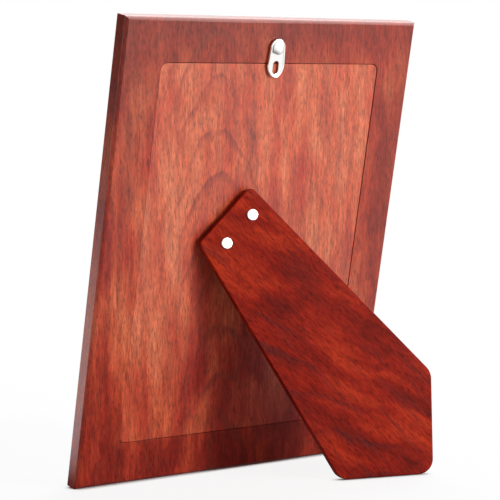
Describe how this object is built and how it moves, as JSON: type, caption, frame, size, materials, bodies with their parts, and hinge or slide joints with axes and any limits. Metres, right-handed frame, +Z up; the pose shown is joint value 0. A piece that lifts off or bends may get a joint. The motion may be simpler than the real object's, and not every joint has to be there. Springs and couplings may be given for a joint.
{
  "type": "easel back photo frame",
  "caption": "Wooden tabletop photo frame with a flush back panel, a hinged diagonal easel leg and a turn-button hanger.",
  "frame": {"origin": "centre of the bounding box at table level, as the frame stands on its lower edge and its leg", "axes": "+Z up, the picture faces -Y and leans back, the leg stands out toward +Y"},
  "size_m": [0.1778, 0.088, 0.2254],
  "materials": {
    "rosewood": "semi-gloss lacquered board with a red-brown rosewood grain running up the frame",
    "rosewood_panel": "the same finish, a little lighter and more orange",
    "rosewood_leg": "the same finish, darker and redder, grain along the leg",
    "glass": "clear float glass",
    "photo_paper": "blank coated photo paper",
    "grey_board": "plain grey backing card",
    "steel_wire": "bright drawn steel wire",
    "hinge_steel": "zinc-bright steel sheet",
    "nickel": "polished nickel plate"
  },
  "bodies": {
    "frame": {"frame_body": "rosewood", "glass_pane": "glass", "photo_print": "photo_paper", "backing_card": "grey_board", "back_panel": "rosewood_panel", "panel_locating_pins": "steel_wire", "hinge_leaf_panel": "hinge_steel", "hinge_pin": "steel_wire", "panel_rivets": "hinge_steel", "hanger_washer": "nickel", "hanger_stud": "nickel"},
    "leg": {"easel_leg": "rosewood_leg", "hinge_leaf_leg": "hinge_steel", "leg_rivets": "nickel"},
    "hanger": {"hanger_plate": "nickel"}
  },
  "joints": [
    {"name": "leg_hinge", "type": "hinge", "parent": "frame", "child": "leg", "pos_m": [0.0177, -0.00398, 0.12708], "axis": [-0.7071, 0.1373, 0.6936], "range_deg": [0, 24.9]},
    {"name": "hanger_turn", "type": "hinge", "parent": "frame", "child": "hanger", "pos_m": [0, 0.01094, 0.21067], "axis": [0, 0.981, -0.1942], "continuous": true}
  ]
}
